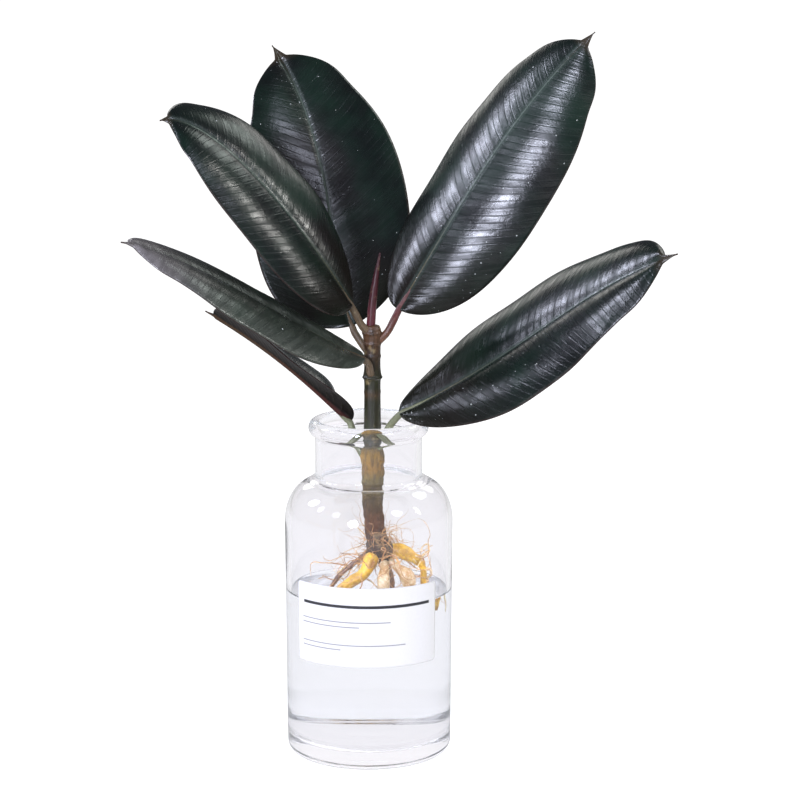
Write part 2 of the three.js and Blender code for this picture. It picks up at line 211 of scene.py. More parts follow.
def tube_part(stations, sides, steps, bump=None):
    """A closed tube through stations (x, y, z, radius). Its uv is (turn, millimetres along)."""
    path = catmull_rom(stations, steps)
    centres, radii = path[:, :3], np.maximum(path[:, 3], 0.05)
    along = unit(np.gradient(centres, axis=0))
    across = np.array([1.0, 0, 0]) if abs(along[0, 0]) < 0.8 else np.array([0, 1.0, 0])
    length = np.concatenate([[0], np.cumsum(np.linalg.norm(np.diff(centres, axis=0), axis=1))])
    verts, uv = [], []
    turns = np.arange(sides) / sides
    for i, centre in enumerate(centres):
        across = unit(across - along[i] * (across @ along[i]))
        third = np.cross(along[i], across)
        ring = np.cos(2 * np.pi * turns)[:, None] * across + np.sin(2 * np.pi * turns)[:, None] * third
        radius = np.full(sides, radii[i])
        if bump is not None:
            radius = radius + bump(centre + ring * radii[i], turns, length[i])
        verts.append(centre + ring * radius[:, None])
        uv.append(np.stack([turns, np.full(sides, length[i])], 1))
    tip = 0.35
    verts.append([centres[0] - along[0] * radii[0] * tip, centres[-1] + along[-1] * radii[-1] * tip])
    uv.append([[0.5, 0], [0.5, length[-1]]])
    return np.vstack(verts), ring_faces(len(centres), sides), np.vstack(uv)


def lathe_part(profile, segments, wobble=None):
    """A body of revolution from an (n, 2) profile of radius and height that starts and ends on the axis."""
    profile = np.asarray(profile, float)
    inner = profile[1:-1]
    angles = 2 * np.pi * np.arange(segments) / segments
    rings = []
    for index, (r, z) in enumerate(inner):
        ring = np.stack([r * np.cos(angles), r * np.sin(angles), np.full(segments, z)], 1)
        if wobble is not None:
            scale = 1 + wobble(ring, index) / max(r, 1.0)
            ring[:, :2] *= scale[:, None]
        rings.append(ring)
    verts = np.vstack(rings + [np.array([[0, 0, profile[0, 1]], [0, 0, profile[-1, 1]]])])
    return verts, ring_faces(len(inner), segments)


def arc(centre, radii, start, end, count):
    """Points on an elliptic arc from start to end degrees, with count steps."""
    a = np.radians(np.linspace(start, end, count + 1))
    return np.stack([centre[0] + radii[0] * np.cos(a), centre[1] + radii[1] * np.sin(a)], 1)


# ---- Node helpers ----
def rgb(hex_colour):
    """A linear colour from a display hex colour."""
    parts = [int(hex_colour[i:i + 2], 16) / 255 for i in (1, 3, 5)]
    return tuple(c / 12.92 if c <= 0.04045 else ((c + 0.055) / 1.055) ** 2.4 for c in parts) + (1.0,)


class Nodes:
    """A short way to write the node tree of a new material or world. Inputs may be hex colours."""

    def __init__(self, name, world=False):
        self.owner = (bpy.data.worlds if world else bpy.data.materials).new(name)
        self.owner.use_nodes = True
        self.tree = self.owner.node_tree
        self.tree.nodes.clear()
        self.output = self.tree.nodes.new("ShaderNodeOutputWorld" if world else "ShaderNodeOutputMaterial")

    def add(self, kind, inputs=None, **settings):
        node = self.tree.nodes.new(kind)
        for key, value in settings.items():
            setattr(node, key, value)
        for key, value in (inputs or {}).items():
            self.feed(node.inputs[key], value)
        return node

    def feed(self, socket, value):
        if isinstance(value, bpy.types.NodeSocket):
            self.tree.links.new(value, socket)
        else:
            socket.default_value = rgb(value) if isinstance(value, str) else value

    def math(self, operation, a, b=0.0, clamp=False):
        return self.add("ShaderNodeMath", {0: a, 1: b}, operation=operation, use_clamp=clamp).outputs[0]

    def smooth(self, value, low, high):
        """0 up to low, 1 from high on, and smooth between."""
        node = self.add("ShaderNodeMapRange", {"Value": value, "From Min": low, "From Max": high},
                        interpolation_type="SMOOTHSTEP")
        return node.outputs["Result"]

    def times(self, a, b):
        return self.math("MULTIPLY", a, b)

    def plus(self, a, b):
        return self.math("ADD", a, b)

    def minus(self, a, b):
        return self.math("SUBTRACT", a, b)

    def rest(self, a):
        """What is left of 1 after a."""
        return self.math("SUBTRACT", 1.0, a)

    def mix(self, factor, a, b):
        """Colour a, turning into colour b as factor goes from 0 to 1."""
        return self.add("ShaderNodeMix", {0: factor, 6: a, 7: b}, data_type="RGBA").outputs[2]

    def noise(self, vector, scale, detail=3.0, roughness=0.55):
        return self.add("ShaderNodeTexNoise", {"Vector": vector, "Scale": scale, "Detail": detail,
                                               "Roughness": roughness}).outputs["Fac"]

    def place(self):
        """Where on the object, in metres."""
        return self.add("ShaderNodeTexCoord").outputs["Object"]

    def uv(self, layer):
        node = self.add("ShaderNodeUVMap", uv_map=layer)
        split = self.add("ShaderNodeSeparateXYZ", {0: node.outputs[0]})
        return split.outputs[0], split.outputs[1]

    def bump(self, height, strength, distance):
        inputs = {"Height": height, "Strength": strength, "Distance": distance}
        return self.add("ShaderNodeBump", inputs).outputs[0]

    def surface(self, shader):
        """End the tree with a shader."""
        self.tree.links.new(shader, self.output.inputs["Surface"])
        return self.owner

    def principled(self, inputs):
        """Finish the material with one Principled shader."""
        return self.surface(self.add("ShaderNodeBsdfPrincipled", inputs).outputs[0])


# ---- Materials ----
def clear_material(name, tint, ior, shadow_tint):
    """A clear solid that bends light and lets lamps through, so that what it holds is lit."""
    n = Nodes(name)
    wave = n.noise(n.place(), 38.0, 1.5, 0.4)
    glass = n.add("ShaderNodeBsdfPrincipled", {
        "Base Color": tint, "Roughness": 0.0, "IOR": ior, "Transmission Weight": 1.0,
        "Normal": n.bump(wave, 0.05, 0.0006)})
    open_way = n.add("ShaderNodeBsdfTransparent", {"Color": shadow_tint})
    path = n.add("ShaderNodeLightPath")
    both = n.add("ShaderNodeMixShader", {0: path.outputs["Is Shadow Ray"], 1: glass.outputs[0],
                                         2: open_way.outputs[0]})
    return n.surface(both.outputs[0])


def label_material():
    """White paper with faint fibres, one dark rule and four thin grey rules where writing would go."""
    n = Nodes("label_paper")
    across, up = n.uv("sheet")
    fibres = n.noise(n.place(), 900.0, 4.0, 0.7)
    paper = n.mix(fibres, "#cfcecf", "#d9d8d9")

    def rule(left, right, low, high):
        inside = n.times(n.math("GREATER_THAN", across, left), n.math("LESS_THAN", across, right))
        band = n.times(n.math("GREATER_THAN", up, low), n.math("LESS_THAN", up, high))
        return n.times(inside, band)

    colour = n.mix(rule(0.06, 0.94, 0.745, 0.782), paper, "#2c2c30")
    for left, right, height in ((0.05, 0.66, 0.56), (0.05, 0.46, 0.50), (0.05, 0.76, 0.27), (0.05, 0.34, 0.21)):
        colour = n.mix(rule(left, right, height, height + 0.014), colour, "#8f8f94")
    return n.principled({
        "Base Color": colour, "Roughness": 0.62, "Normal": n.bump(fibres, 0.15, 0.0002)})


def leaf_face_material(name, painted_sheen=0.0):
    """The blade's waxy upper face: near-black green, pale midrib, fine side veins and a wine-red margin.

    The second argument is how much painted grey sheen lies in its colour, a painted highlight that is paler
    towards the tip.
    """
    n = Nodes(name)
    place = n.place()
    side, along = n.uv("leaf_mm")       # tenths of metres either side of the midrib, share of length
    phase, reach = n.uv("leaf_vein")    # vein number, and share of the half-width
    patches = n.noise(place, 26.0, 3.0, 0.6)
    colour = n.mix(n.smooth(patches, 0.35, 0.7), "#0a0e0f", "#0f221a")
    warm = n.noise(place, 14.0, 2.0, 0.5)
    colour = n.mix(n.times(n.smooth(warm, 0.5, 0.72), 0.6), colour, "#211719")
    # side veins dull the sheen, and streaks run along them
    wave = n.math("PINGPONG", phase, 0.5)
    vein = n.rest(n.smooth(wave, 0.0, 0.14))
    strand = n.add("ShaderNodeCombineXYZ", {0: n.times(phase, 0.8), 1: n.times(reach, 1.3),
                                            2: n.math("GREATER_THAN", side, 0.0)}).outputs[0]
    streak = n.smooth(n.noise(strand, 1.0, 3.0, 0.6), 0.34, 0.66)
    away = n.times(n.smooth(reach, 0.02, 0.12), n.smooth(n.noise(place, 70.0, 2.0, 0.5), 0.32, 0.66))
    shine = n.rest(n.times(n.times(vein, away), 0.40))
    shine = n.times(shine, n.plus(n.times(streak, 0.42), 0.32))
    near_base = n.rest(n.smooth(along, 0.04, 0.40))
    shine = n.times(shine, n.rest(n.times(near_base, 0.52)))
    colour = n.mix(n.times(near_base, 0.55), colour, "#1b1711")
    # a thin pale midrib in a paler band, and the brown drip tip
    off = n.math("ABSOLUTE", side)
    halo = n.rest(n.smooth(off, 0.010, 0.026))
    colour = n.mix(n.times(halo, 0.42), colour, "#37433d")
    rib = n.rest(n.smooth(off, 0.0018, 0.0050))
    rib_colour = n.mix(n.smooth(along, 0.02, 0.4), "#5e5238", "#56625a")
    rib_colour = n.mix(n.smooth(along, 0.82, 0.93), rib_colour, "#2a251c")
    colour = n.mix(n.times(rib, 0.62), colour, rib_colour)
    colour = n.mix(n.times(n.smooth(along, 0.93, 0.965), 0.8), colour, "#3a3126")
    # wine-red margin
    rim = n.smooth(reach, 0.972, 0.995)
    colour = n.mix(n.times(rim, 0.6), colour, "#33201e")
    # painted sheen: the colour turns paler grey, streaked like the gloss and paler towards the tip, standing in
    # for light on the blade
    if painted_sheen:
        sheen_amount = n.plus(n.times(n.smooth(streak, 0.1, 0.9), 0.35), 0.5)
        sheen_amount = n.plus(sheen_amount, n.times(n.smooth(along, 0.55, 0.95), 0.35))
        sheen_colour = n.mix(n.smooth(along, 0.55, 0.95), "#51574f", "#7d797b")
        colour = n.mix(n.times(sheen_amount, painted_sheen), colour, sheen_colour)
    grain = n.noise(place, 1100.0, 3.0, 0.6)
    cloud = n.noise(place, 300.0, 2.0, 0.5)
    rough = n.plus(n.times(patches, 0.14), 0.225)
    rough = n.minus(rough, n.times(streak, 0.05))
    rough = n.plus(rough, n.times(n.times(vein, away), 0.07))
    height = n.plus(n.times(grain, 0.34), n.times(cloud, 0.6))
    height = n.minus(height, n.times(vein, 0.25))
    return n.principled({
        "Base Color": colour, "Roughness": rough, "IOR": 1.5, "Specular IOR Level": shine,
        "Normal": n.bump(height, 0.45, 0.0004)})


def leaf_back_material():
    """The blade's duller underside: green-brown with a red midrib and finer veins."""
    n = Nodes("leaf_underside")
    place = n.place()
    side, along = n.uv("leaf_mm")
    phase, reach = n.uv("leaf_vein")
    patches = n.noise(place, 30.0, 3.0, 0.6)
    colour = n.mix(n.smooth(patches, 0.3, 0.75), "#0c0d0a", "#140d0b")
    wave = n.math("PINGPONG", phase, 0.5)
    vein = n.rest(n.smooth(wave, 0.0, 0.12))
    colour = n.mix(n.times(vein, 0.16), colour, "#34301f")
    off = n.math("ABSOLUTE", side)
    rib = n.rest(n.smooth(off, 0.008, 0.02))
    colour = n.mix(rib, colour, n.mix(n.smooth(along, 0.1, 0.8), "#3d1e1a", "#3a2b1e"))
    rim = n.smooth(reach, 0.96, 0.99)
    colour = n.mix(n.times(rim, 0.7), colour, "#2c1614")
    grain = n.noise(place, 1200.0, 3.0, 0.6)
    height = n.plus(n.times(grain, 0.25), n.times(vein, 0.6))
    return n.principled({
        "Base Color": colour, "Roughness": 0.42, "Specular IOR Level": 0.11,
        "Normal": n.bump(height, 0.5, 0.0003)})


def stalk_material(name, low, high, rough=0.45):
    """A leaf stalk or the red sheath: streaks along it, from one colour at its foot to another at its end."""
    n = Nodes(name)
    turn, along = n.uv("tube")
    place = n.place()
    streak = n.add("ShaderNodeCombineXYZ", {0: n.times(turn, 16.0), 1: n.times(along, 0.12)})
    lines = n.noise(streak.outputs[0], 1.0, 3.0, 0.6)
    speck = n.noise(place, 420.0, 2.0, 0.5)
    colour = n.mix(n.smooth(along, 0.0, 22.0), low, high)
    colour = n.mix(n.times(n.smooth(lines, 0.45, 0.75), 0.5), colour, "#1f1c14")
    colour = n.mix(n.times(n.smooth(speck, 0.62, 0.75), 0.35), colour, "#8d8262")
    height = n.plus(lines, n.times(speck, 0.4))
    return n.principled({
        "Base Color": colour, "Roughness": rough, "Normal": n.bump(height, 0.3, 0.0004)})


def stem_material():
    """Green skin above, golden bark in the neck, grey-green fuzz below and a dark brown crown."""
    n = Nodes("stem_bark")
    place = n.place()
    height_m = n.add("ShaderNodeSeparateXYZ", {0: place}).outputs[2]
    ramp = n.add("ShaderNodeValToRGB", {0: n.smooth(height_m, 0.1005, 0.2245)})
    ramp.color_ramp.interpolation = "LINEAR"
    stops = ((0.0, "#2c180a"), (0.04, "#43240c"), (0.08, "#55300f"), (0.15, "#43300f"), (0.22, "#4d3e14"),
             (0.29, "#5b4c14"), (0.35, "#785610"), (0.43, "#7e5e13"), (0.49, "#4a3d12"), (0.56, "#24260f"),
             (0.76, "#222410"), (0.795, "#43321f"), (0.83, "#252714"), (0.90, "#2a2816"), (0.96, "#402d1f"),
             (1.0, "#573c28"))
    while len(ramp.color_ramp.elements) < len(stops):
        ramp.color_ramp.elements.new(0.5)
    for element, (at, colour) in zip(ramp.color_ramp.elements, stops):
        element.position = at
        element.color = rgb(colour)
    stretch = n.add("ShaderNodeMapping", {0: place, "Scale": (1.0, 1.0, 0.28)}).outputs[0]
    fibres = n.noise(stretch, 620.0, 4.0, 0.65)
    blotch = n.noise(place, 150.0, 3.0, 0.6)
    colour = n.mix(n.times(n.smooth(fibres, 0.42, 0.66), 0.7), ramp.outputs[0], "#1c160c")
    pale = n.times(n.smooth(blotch, 0.58, 0.72), 0.35)
    colour = n.mix(pale, colour, "#b09a6c")
    low_part = n.rest(n.smooth(height_m, 0.1605, 0.1725))
    height = n.plus(n.times(fibres, n.plus(n.times(low_part, 1.2), 0.25)),
                    n.times(blotch, n.times(low_part, 0.8)))
    rough = n.plus(n.times(low_part, 0.3), 0.42)
    return n.principled({
        "Base Color": colour, "Roughness": rough, "Normal": n.bump(height, 0.8, 0.0012)})


def root_material(name, base, deep, pale, wet=0.3):
    """Juicy root skin: mottled, with darker pits and paler young stretches."""
    n = Nodes(name)
    place = n.place()
    mottle = n.noise(place, 180.0, 4.0, 0.6)
    fine = n.noise(place, 900.0, 3.0, 0.6)
    colour = n.mix(n.smooth(mottle, 0.35, 0.7), deep, base)
    colour = n.mix(n.times(n.smooth(fine, 0.5, 0.7), 0.6), colour, pale)
    height = n.plus(mottle, n.times(fine, 0.4))
    return n.principled({
        "Base Color": colour, "Roughness": 0.38, "Coat Weight": wet, "Coat Roughness": 0.12,
        "Subsurface Weight": 0.15, "Subsurface Radius": (0.004, 0.002, 0.001), "Subsurface Scale": 1.0,
        "Normal": n.bump(height, 0.5, 0.0005)})


def dew_painted_glint_material():
    """Tiny drops, coloured pale: their light base colour is a painted glint."""
    n = Nodes("dew_painted_glint")
    cloud = n.noise(n.place(), 900.0, 2.0, 0.5)
    return n.principled({
        # the pale base colour is a painted glint, standing in for the drops' highlights
        "Base Color": n.mix(cloud, "#8f9696", "#d8dcdc"), "Roughness": 0.12, "Coat Weight": 0.6,
        "Coat Roughness": 0.05})


# ---- Vase, water and label ----
INSIDE_RADIUS = VASE["body_radius"] - VASE["wall"]
INSIDE_NECK = VASE["neck_radius"] - VASE["wall"]
INSIDE_FOOT = VASE["foot_radius"] - VASE["wall"]
INSIDE_CORNER = 6.5
INSIDE_CORNERS = (INSIDE_CORNER, INSIDE_CORNER)


def body_share(z):
    """How far a height lies up the straight body."""
    return (z - VASE["foot_corner"]) / (VASE["shoulder_low"] - VASE["foot_corner"])


def resample(profile, spacing):
    """A profile with points every spacing or so, keeping its own points."""
    out = [profile[0]]
    for a, b in zip(profile[:-1], profile[1:]):
        count = max(1, int(math.ceil(np.linalg.norm(b - a) / spacing)))
        out += [a + (b - a) * (i + 1) / count for i in range(count)]
    return np.array(out)


def vase_profile():
    """The glass's cross-section, from the middle of the foot up the outside and down the inside."""
    v = VASE
    rise = v["shoulder_high"] - v["shoulder_low"]
    lip_low = v["height"] - v["lip_height"]
    half_lip = v["lip_height"] / 2
    lip_centre = (v["lip_radius"] - half_lip + 0.6, v["height"] - half_lip)
    corner = v["foot_corner"]
    # the foot's edge, shoulder, neck's root, neck, the hollow under the lip, and the lip
    outside = np.vstack([
        [(0.01, 0.0)],
        arc((v["foot_radius"] - corner, corner), (corner, corner), -90, 0, 14),
        arc((v["neck_radius"], v["shoulder_low"]), (v["body_radius"] - v["neck_radius"], rise), 0, 76, 26),
        arc((v["neck_radius"] + 4.2, v["shoulder_high"] + 3.2), (4.2, 3.0), 250, 180, 8),
        [(v["neck_radius"], lip_low - 2.0)],
        arc((v["neck_radius"] + 1.2, lip_low - 1.2), (1.2, 1.4), 180, 110, 4),
        arc(lip_centre, (half_lip - 0.6, half_lip), -52, 90, 14),
    ])
    # the mouth's edge, neck's root, shoulder, the floor's corner, and the floor
    inside = np.vstack([
        arc((INSIDE_NECK + 1.9, v["height"] - 1.9), (1.9, 1.9), 90, 180, 7),
        arc((INSIDE_NECK + 3.6, v["shoulder_high"] + 1.4), (3.6, 3.2), 180, 262, 8),
        arc((INSIDE_NECK + 1.5, v["shoulder_low"]),
            (INSIDE_RADIUS - INSIDE_NECK - 1.5, rise - v["wall"] + 0.6), 80, 0, 24),
        arc((INSIDE_FOOT - INSIDE_CORNER, v["floor"] + INSIDE_CORNER), INSIDE_CORNERS, 0, -90, 12),
        [(12.0, v["floor"] + 0.5), (0.01, v["floor"] + FLOOR_DOME)],
    ])
    middle = (0.0, v["floor"] + FLOOR_DOME)
    return np.vstack([[(0.0, 0.0)], resample(np.vstack([outside, inside]), 4.0), [middle]])


def make_vase():
    """The glass, a little uneven, and more so inside than outside."""
    profile = vase_profile()
    inner_from = int(np.argmax(profile[:, 1])) + 4

    def wobble(ring, index):
        amount = 0.22 if index > inner_from else 0.05
        return amount * lattice_noise(ring, 34.0, 3)

    glass = clear_material("vase_glass", "#fcfbfd", 1.5, "#f6f6f8")
    verts, faces = lathe_part(profile, segments=144, wobble=wobble)
    vase = make_object("vase_clear_glass", verts, faces, [glass])
    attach(vase, "root")
    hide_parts("glass_vase")


def make_water():
    """The water, run just into the glass so that no film of air shows, and stopped just above the floor."""
    bite, gap = 0.2, 0.25
    low = VASE["floor"] + FLOOR_DOME + gap
    foot = INSIDE_FOOT + bite
    top = INSIDE_FOOT + (INSIDE_RADIUS - INSIDE_FOOT) * body_share(WATER_LEVEL) + bite
    creep = np.array([(top - d, WATER_LEVEL + 1.5 * math.exp(-d / 1.1))
                      for d in (0, 0.4, 0.9, 1.5, 2.3, 3.4, 5.0)])
    profile = np.vstack([
        [(0.0, low)], [(12.0, low - 0.3)],
        arc((foot - INSIDE_CORNER, low - FLOOR_DOME + INSIDE_CORNER), INSIDE_CORNERS, -90, 0, 12),
        [(top, WATER_LEVEL + 1.2), (top, WATER_LEVEL + 1.42)], creep,
        [(30.0, WATER_LEVEL), (20.0, WATER_LEVEL), (0.01, WATER_LEVEL)],
    ])
    profile = np.vstack([resample(profile, 3.0), [(0.0, WATER_LEVEL)]])
    water = clear_material("water", "#fbfdfd", 1.333, "#f6f9f9")
    verts, faces = lathe_part(profile, segments=128)
    body = make_object("water_body", verts, faces, [water])
    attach(body, "root")
    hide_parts("water")


def make_label():
    """A curved paper sheet a little off the glass, with rounded corners."""
    columns, rows = 96, 40
    half = math.radians(LABEL["half_angle"])
    middle = math.radians(LABEL["turn"] - 90)
    width = 2 * half * VASE["body_radius"]
    height = LABEL["high"] - LABEL["low"]
    u, v = np.meshgrid(np.linspace(0, 1, columns + 1), np.linspace(0, 1, rows + 1), indexing="ij")
    near_end = np.minimum(v, 1 - v) * height
    inset = LABEL["corner"] - np.sqrt(np.maximum(0, LABEL["corner"]**2
                                                 - np.maximum(0, LABEL["corner"] - near_end)**2))
    x = (u - 0.5) * (width - 2 * inset)
    angle = middle + x / VASE["body_radius"]
    z = LABEL["low"] + v * height
    verts, uv = [], []
    for lift in (LABEL["lift"] + LABEL["thickness"], LABEL["lift"]):
        r = VASE["foot_radius"] + body_share(z) * (VASE["body_radius"] - VASE["foot_radius"]) + lift
        verts.append(np.stack([r * np.cos(angle), r * np.sin(angle), z], -1).reshape(-1, 3))
        uv.append(np.stack([x / width + 0.5, v], -1).reshape(-1, 2))
    faces, _ = sheet_faces(columns + 1, rows + 1)
    label = make_object("label_sheet", np.vstack(verts), faces, [label_material()], {"sheet": np.vstack(uv)})
    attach(label, "root")
    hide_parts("label")


def sheet_faces(rows, columns):
    """Faces of a closed sheet from two grids stored one after the other, and 0, 1 or 2 for front, back, rim."""
    def front(i, j):
        return i * columns + j

    def back(i, j):
        return (rows + i) * columns + j

    faces, kinds = [], []
    for i in range(rows - 1):
        for j in range(columns - 1):
            faces.append((front(i, j), front(i + 1, j), front(i + 1, j + 1), front(i, j + 1)))
            faces.append((back(i, j), back(i, j + 1), back(i + 1, j + 1), back(i + 1, j)))
            kinds += [0, 1]
    rim = ([(i, 0) for i in range(rows - 1)] + [(rows - 1, j) for j in range(columns - 1)]
           + [(i, columns - 1) for i in range(rows - 1, 0, -1)] + [(0, j) for j in range(columns - 1, 0, -1)])
    for (i, j), (k, m) in zip(rim, rim[1:] + rim[:1]):
        faces.append((front(i, j), back(i, j), back(k, m), front(k, m)))
        kinds.append(2)
    return faces, kinds


# ---- Leaves ----
LEAF_ROWS, LEAF_COLUMNS = 190, 33          # columns on each side of the midrib


def bezier(points, t):
    """Places at shares t of the cubic curve through four points."""
    p = np.asarray(points, float)
    t = t[:, None]
    return (1 - t)**3 * p[0] + 3 * (1 - t)**2 * t * p[1] + 3 * (1 - t) * t**2 * p[2] + t**3 * p[3]


def bezier_slope(points, t):
    """The same curve's direction, not of length 1."""
    p = np.asarray(points, float)
    t = t[:, None]
    return 3 * ((1 - t)**2 * (p[1] - p[0]) + 2 * (1 - t) * t * (p[2] - p[1]) + t**2 * (p[3] - p[2]))


def blade_width(leaf, t):
    """Half-width at shares t: a full oval that closes on a drip tip."""
    u = np.minimum(t / BLADE_END, 1)
    fullness, roundness = 2.3, 0.6
    oval = np.maximum(0, 1 - np.abs(2 * u**leaf["widest"] - 1)**fullness)**roundness
    tip = CUSP_WIDTH * (np.maximum(1 - t, 0) / (1 - BLADE_END))**1.3 * smoothstep(0.78, 0.92, t)
    return np.maximum(leaf["half"] * np.hypot(oval, tip), 0.22)


def blade_frame(leaf, t):
    """Midrib place, blade normal and sideways direction at shares t."""
    along = unit(bezier_slope(leaf["midrib"], t))
    normal = unit(np.array([0, 0, 1.0]) - along[:, 2:3] * along)
    side = np.cross(normal, along)
    turn = np.radians(leaf["roll"][0] + (leaf["roll"][1] - leaf["roll"][0]) * t)[:, None]
    return (bezier(leaf["midrib"], t), np.cos(turn) * normal + np.sin(turn) * side,
            np.cos(turn) * side - np.sin(turn) * normal)


def blade_grid(leaf, t, q):
    """The blade's plain face at shares t along and q across: its points, its width and its unit normals."""
    centre, normal, side = blade_frame(leaf, t)
    width = blade_width(leaf, t)
    fold, curl = math.radians(leaf["fold"]), math.radians(leaf["curl"])
    slope = fold - curl * np.abs(q)
    out = (math.sin(fold) - np.sin(slope)) / curl * np.sign(q)
    up = (np.cos(slope) - math.cos(fold)) / curl
    points = (centre[:, None] + width[:, None, None] * (out[None, :, None] * side[:, None]
                                                       + up[None, :, None] * normal[:, None]))
    lean = slope * np.sign(q)
    normals = np.cos(lean)[None, :, None] * normal[:, None] - np.sin(lean)[None, :, None] * side[:, None]
    return points, width, unit(normals)


def make_leaf(name, leaf, seed, face_material, back_material, stalk_materials):
    """A blade with its stalk as one object. It returns the grid of the upper face and its plain normals."""
    t = np.linspace(0, 1, LEAF_ROWS + 1)
    t = 0.72 * t + 0.28 * (1 - np.cos(np.pi * t)) / 2
    share = np.linspace(0, 1, LEAF_COLUMNS + 1)
    share = 0.55 * share + 0.45 * share**2.2                     # finer beside the midrib
    q = np.concatenate([-share[:0:-1], share])
    points, width, normals = blade_grid(leaf, t, q)
    centre = bezier(leaf["midrib"], t)
    travelled = np.concatenate([[0], np.cumsum(np.linalg.norm(np.diff(centre, axis=0), axis=1))])
    length = travelled[-1]
    off = np.abs(q)[None] * width[:, None]                        # millimetres from the midrib
    reach = np.broadcast_to(np.abs(q)[None], off.shape)
    hand = np.sign(q)[None]
    flat = points.reshape(-1, 3)

    # side veins leave the midrib at about 65 degrees and bend forward near the margin
    drift = 0.9 * lattice_noise(flat, 22.0, seed).reshape(off.shape)
    forward = VEIN_LEAN * off + VEIN_BEND * off**2
    phase = (travelled[:, None] - forward + drift + 1.1 * (hand > 0)) / VEIN_SPACING
    body = smoothstep(0.0, 0.16, reach) * (1 - smoothstep(0.86, 1.0, reach))
    body = body * smoothstep(0.0, 0.05, t)[:, None] * (1 - smoothstep(0.90, 0.955, t))[:, None]
    ripple = 0.032 * np.cos(2 * np.pi * phase) + 0.008 * np.cos(2 * np.pi * (2.7 * phase + 0.3))
    ripple = ripple * body * (0.7 + 0.9 * lattice_noise(flat, 15.0, seed + 5).reshape(off.shape))
    streaks = np.stack([phase / 2.3, reach * 0.8, 3.0 * hand * np.ones_like(off)], -1).reshape(-1, 3)
    ripple += 0.08 * body * lattice_noise(streaks, 1.0, seed + 6).reshape(off.shape)

    # broad unevenness, a soft wave at the margin, and the midrib's groove and ridge
    uneven = 0.34 * lattice_noise(flat, 30.0, seed + 9).reshape(off.shape) * smoothstep(0.05, 0.6, reach)
    wave = 0.45 * reach**3 * np.sin(travelled[:, None] * 0.13 + 1.9 * hand + seed)
    taper = (1 - 0.75 * t)[:, None]
    closing = np.clip(width / 6.0, 0, 1)[:, None]
    rib_half = 0.62 * taper + 0.12
    valley = -leaf["valley"] * np.exp(-(off / (leaf["band"] * (0.45 + 0.55 * taper)))**2)
    ridge = 0.20 * taper * np.exp(-(off / (0.7 * rib_half))**2)
    bulge = leaf["bulge"] * np.sin(np.pi * reach)
    raised = (ripple + uneven + wave + valley + bulge) * closing + ridge * np.clip(width / 3.0, 0.2, 1)[:, None]

    thickness = (BLADE_EDGE + (BLADE_THICKNESS - BLADE_EDGE) * (1 - reach**3)) * np.ones_like(off)
    keel = 1.4 * taper * np.exp(-(off / (1.5 * taper + 0.2))**2) * np.clip(width / 5.0, 0.25, 1)[:, None]
    under_ripple = -0.06 * np.cos(2 * np.pi * phase) * body
    upper = points + normals * raised[..., None]
    broad = (uneven + wave + valley + bulge) * closing
    lower = points + normals * (broad - thickness - keel + under_ripple)[..., None]

    faces, kinds = sheet_faces(LEAF_ROWS + 1, len(q))
    verts = np.vstack([upper.reshape(-1, 3), lower.reshape(-1, 3)])
    mm = np.stack([off * hand * 0.01, np.broadcast_to(t[:, None], off.shape)], -1).reshape(-1, 2)
    vein = np.stack([phase, reach], -1).reshape(-1, 2)
    uv_mm, uv_vein = np.vstack([mm, mm]), np.vstack([vein, vein])

    # the stalk runs on below the midrib, where it sinks into the keel
    rows, depths = np.array([0.0, 0.035, 0.09, 0.16]), np.array([[1.15], [1.2], [1.2], [1.0]])
    stalk_radii, sunk_radii = (2.5, 1.95, 1.85), (1.7, 1.45, 1.0, 0.35)
    run, _, run_normals = blade_grid(leaf, rows, np.array([0.0]))
    sunk = run[:, 0] - run_normals[:, 0] * depths
    stations = [(*p, r) for p, r in zip(leaf["stalk"], stalk_radii)]
    stations += [(*p, r) for p, r in zip(sunk, sunk_radii)]

    def uneven_skin(at, turns, travelled_mm):
        return 0.10 * lattice_noise(at, 2.6, seed + 20) + 0.05 * np.cos(2 * np.pi * turns * 9)

    stalk_v, stalk_f, stalk_uv = tube_part(stations, sides=28, steps=10, bump=uneven_skin)
    start = len(verts)
    verts = np.vstack([verts, stalk_v])
    faces = faces + [[i + start for i in f] for f in stalk_f]
    kinds = [0 if k == 0 else 1 for k in kinds] + [2] * len(stalk_f)
    nothing = np.zeros((len(stalk_v), 2))
    uvs = {
        "leaf_mm": np.vstack([uv_mm, nothing]),
        "leaf_vein": np.vstack([uv_vein, nothing]),
        "tube": np.vstack([np.zeros((start, 2)), stalk_uv]),
    }
    obj = make_object(name + "_grown", verts, faces,
                      [face_material, back_material, stalk_materials[leaf["stalk_tint"]]], uvs, kinds)
    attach(obj, "root")
    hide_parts(name)
    return upper, normals


def make_droplets(name, upper, normals, zones, seed, material):
    """Small beads of water on a blade.

    zones are (low, high share along, low, high share across, count). upper and normals come from make_leaf.
    """
    rng = np.random.default_rng(seed)
    rows, columns = upper.shape[:2]
    parts = []
    for low_t, high_t, low_q, high_q, count in zones:
        for _ in range(count):
            i = int((low_t + (high_t - low_t) * rng.random()) * (rows - 1))
            j = int((low_q + (high_q - low_q) * rng.random()) * (columns - 1))
            radius = 0.12 + 0.30 * rng.random()**4            # most are tiny
            parts.append(bead(upper[i, j], normals[i, j], radius))
    verts, faces, _ = join_parts(parts)
    obj = make_object(name, verts, faces, [material])
    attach(obj, "root")


